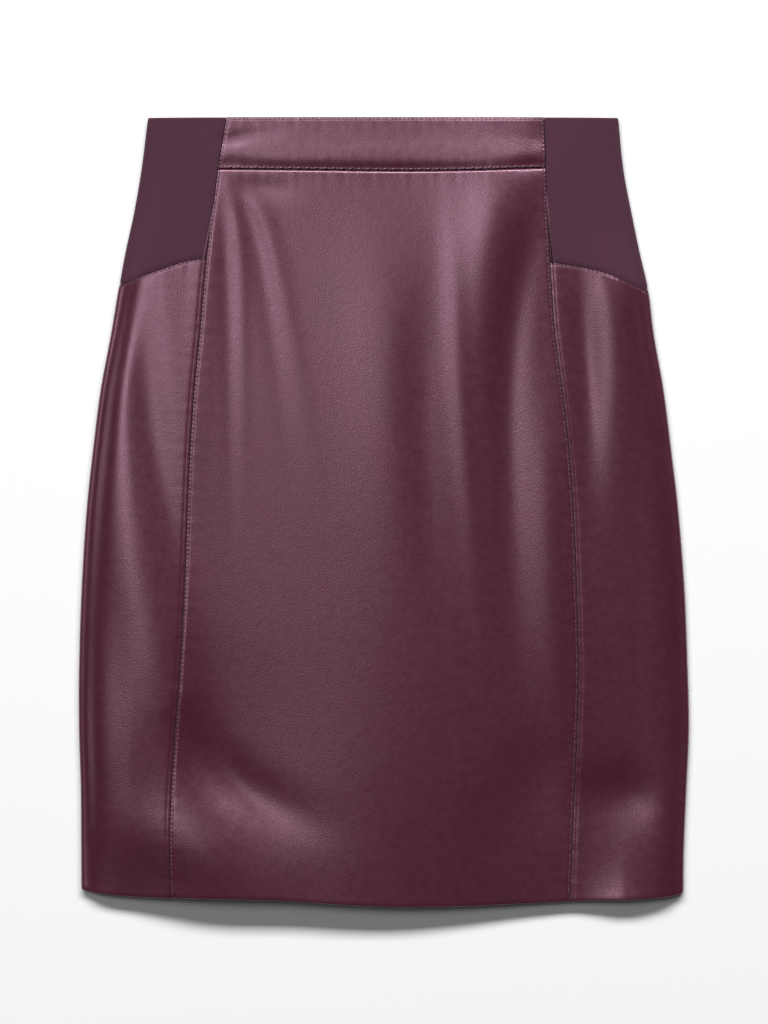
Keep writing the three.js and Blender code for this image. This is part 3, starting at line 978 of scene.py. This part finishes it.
class SKIRT_OT_elastic_insets(bpy.types.Operator):
    """Makes the two elastic insets at the waist, which wrap the side folds"""

    bl_idname = "skirt.elastic_insets"
    bl_label = "Elastic insets"

    def execute(self, context):
        width, length = INSET_SPAN
        for side in ("left", "right"):
            cut = SideCut(side, -in_mm("elastic_drop"))
            piece = cloth_piece(
                side + "_inset_elastic", cut, wrapped_runs(width, STEP_ACROSS, STEP_BEHIND),
                plain_rows(graded(length, STEP_INSET)), waist_y,
                lambda x: foot_y(side, x) + in_mm("seam_gap") / 2,
                flat_behind(inset_relief(cut)), in_mm("elastic_wall"), elastic_material(), no_edges)
            finish_piece(piece, [side + "_elastic_inset"])
        return {"FINISHED"}


def stitch_places(points, outward, slant=0.0):
    """Where each stitch of one row lies, a pitch apart along a line of points: one matrix a stitch."""
    steps = np.linalg.norm(np.diff(points, axis=0), axis=1)
    travelled = np.concatenate([[0], np.cumsum(steps)])
    stations = np.arange(in_mm("stitch_pitch") / 2, travelled[-1], in_mm("stitch_pitch"))

    def read(values, at):
        return np.column_stack([np.interp(at, travelled, values[:, k]) for k in range(3)])

    place, out = read(points, stations), unit(read(outward, stations))
    along = read(points, stations + NEARBY) - place
    along = unit(along - out * (along * out).sum(axis=1)[:, None])
    side = np.cross(out, along)
    turned = along * math.cos(slant) + side * math.sin(slant)
    across = side * math.cos(slant) - along * math.sin(slant)
    half_width, half_length = in_mm("thread_width") / 2, in_mm("stitch_length") / 2
    return np.stack([across * half_width, out * half_width * 0.9, turned * half_length, place], axis=2)


def spindles(places):
    """A mesh of small spindles of thread, one at each place; one is made and then copied."""
    bm = bmesh.new()
    bmesh.ops.create_uvsphere(bm, u_segments=6, v_segments=5, radius=1)
    spindle = np.array([vert.co for vert in bm.verts])
    spindle = np.column_stack([spindle, np.ones(len(spindle))])
    made = 1
    while made < len(places):
        every = bm.verts[:] + bm.edges[:] + bm.faces[:]
        bmesh.ops.duplicate(bm, geom=every)
        made *= 2
    surplus = bm.verts[len(places) * len(spindle):]
    bmesh.ops.delete(bm, geom=surplus, context="VERTS")
    for vert, point in zip(bm.verts, (spindle @ places.transpose(0, 2, 1)).reshape(-1, 3) * MM):
        vert.co = point
    return bm


def sewn_line(cut, run, y, relief):
    """Points along a line of runs and heights, a little proud of a cut's face."""
    face, outward = cut.face(run, y)
    shape = relief(cut.x_at(run, y), y, run)
    return face + outward * (shape + STITCH_RISE)[:, None], outward


def down_the_seam(cut, side, inset, top, bottom):
    """The runs and heights of a line beside a long seam."""
    y = np.linspace(top, bottom, 400)
    half_gap = in_mm("seam_gap") / 2
    width = seam_x("right", y) - seam_x("left", y) - 2 * half_gap
    run = inset / width
    return (run if side == "left" else 1 - run), y


def stitching(name, layer):
    """All the rows of stitches of one layer, as one mesh of thread."""
    panel, band = MiddleCut(layer), MiddleCut(layer, in_mm("band_lift") if layer == "front" else 0.0)
    on_panel = panel_relief if layer == "front" else panel_relief_back
    on_band = band_relief if layer == "front" else band_relief_back
    rows = []
    for side, end in (("left", 0), ("right", -1)):
        band_end = WAIST_Y - BAND["down"][end]
        run, y = down_the_seam(panel, side, STITCH_INSET, band_end - 2, -WAIST_Y + 8)
        rows.append(stitch_places(*sewn_line(panel, run, y, on_panel)))
        run, y = down_the_seam(band, side, STITCH_INSET, WAIST_Y - 1.5, band_end + 1.5)
        rows.append(stitch_places(*sewn_line(band, run, y, on_band)))
        cut = SideCut(side)
        run = np.linspace(0.01, 1, 200) if layer == "front" else np.linspace(2, 2.99, 200)
        y = np.full_like(run, WAIST_Y - FOOT_NOMINAL[side])
        for _ in range(3):
            y = foot_y(side, cut.x_at(run, y)) - STITCH_INSET
        rows.append(stitch_places(*sewn_line(cut, run, y, flat_behind(side_relief(cut)))))
    run = np.linspace(0.01, 0.99, 300)
    top = np.full_like(run, WAIST_Y - STITCH_INSET)
    low = np.full_like(run, WAIST_Y - BAND["down"][-1])
    low = band_seam_y(band.x_at(run, low)) + LIP_INSET
    rows.append(stitch_places(*sewn_line(band, run, top, on_band)))
    rows.append(stitch_places(*sewn_line(band, run, low, on_band), slant=LIP_SLANT))
    bm = spindles(np.concatenate(rows))
    mesh = bpy.data.meshes.new(name)
    bm.to_mesh(mesh)
    bm.free()
    piece = smooth_object(name, mesh, thread_material())
    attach(piece, BODY)
    return piece


class SKIRT_OT_stitching(bpy.types.Operator):
    """Sews the rows of edge stitches on the front and the back"""

    bl_idname = "skirt.stitching"
    bl_label = "Stitching"

    def execute(self, context):
        stitching("front_stitching", "front")
        stitching("back_stitching", "back")
        return {"FINISHED"}


def area_light(name, place, size, power):
    """A soft studio light at a place, turned to face the skirt's middle."""
    data = bpy.data.lights.new(name, "AREA")
    data.shape = "RECTANGLE"
    data.size, data.size_y = size
    data.energy = power
    light = bpy.data.objects.new(name, data)
    bpy.context.scene.collection.objects.link(light)
    light.location = place
    light.rotation_euler = (-Vector(place)).to_track_quat("-Z", "Y").to_euler()


class SKIRT_OT_stage(bpy.types.Operator):
    """Makes the pale floor, the soft studio lights and the camera straight above"""

    bl_idname = "skirt.stage"
    bl_label = "Stage"

    def execute(self, context):
        bm = bmesh.new()
        bmesh.ops.create_grid(bm, x_segments=1, y_segments=1, size=FLOOR_REACH)
        bmesh.ops.translate(bm, verts=bm.verts, vec=(0, 0, -FLOOR_DROP * MM))
        mesh = bpy.data.meshes.new("floor")
        bm.to_mesh(mesh)
        bm.free()
        floor = bpy.data.objects.new("floor", mesh)
        context.scene.collection.objects.link(floor)
        mesh.materials.append(floor_material())
        area_light(*KEY_LIGHT)
        area_light(*TOP_LIGHT)
        world = bpy.data.worlds.new("Studio")
        context.scene.world = world
        world.use_nodes = True
        background = world.node_tree.nodes["Background"]
        background.inputs["Color"].default_value = opaque(linear(WORLD_COLOUR))
        background.inputs["Strength"].default_value = WORLD_STRENGTH
        data = bpy.data.cameras.new("camera")
        data.sensor_fit = "VERTICAL"
        data.sensor_height = SENSOR
        data.lens = LENS
        camera = bpy.data.objects.new("camera", data)
        context.scene.collection.objects.link(camera)
        camera.location = (0, 0, FRONT_LEVEL + VIEW_HEIGHT * LENS / SENSOR)
        context.scene.camera = camera
        context.scene.view_settings.view_transform = "Standard"
        return {"FINISHED"}


OPERATORS = (
    SKIRT_OT_stage,
    SKIRT_OT_back_panel,
    SKIRT_OT_front_panel,
    SKIRT_OT_side_panels,
    SKIRT_OT_waistbands,
    SKIRT_OT_elastic_insets,
    SKIRT_OT_stitching,
)


class SKIRT_PT_panel(bpy.types.Panel):
    """Lists the skirt's sizes, colours and pieces"""

    bl_idname = "SKIRT_PT_panel"
    bl_label = "Leather skirt"
    bl_space_type = "VIEW_3D"
    bl_region_type = "UI"
    bl_category = "Skirt"

    def draw(self, context):
        column = self.layout.column()
        for group in (context.scene.skirt_sizes, context.scene.skirt_colours):
            for name in group.__annotations__:
                column.prop(group, name)
        for operator in OPERATORS:
            column.operator(operator.bl_idname)


CLASSES = (SkirtSizes, SkirtColours, *OPERATORS, SKIRT_PT_panel)


def register():
    for cls in CLASSES:
        bpy.utils.register_class(cls)
    bpy.types.Scene.skirt_sizes = bpy.props.PointerProperty(type=SkirtSizes)
    bpy.types.Scene.skirt_colours = bpy.props.PointerProperty(type=SkirtColours)


def unregister():
    del bpy.types.Scene.skirt_colours
    del bpy.types.Scene.skirt_sizes
    for cls in reversed(CLASSES):
        bpy.utils.unregister_class(cls)


def main():
    register()
    for operator in OPERATORS:
        group, name = operator.bl_idname.split(".")
        getattr(getattr(bpy.ops, group), name)()


if __name__ == "__main__":
    main()
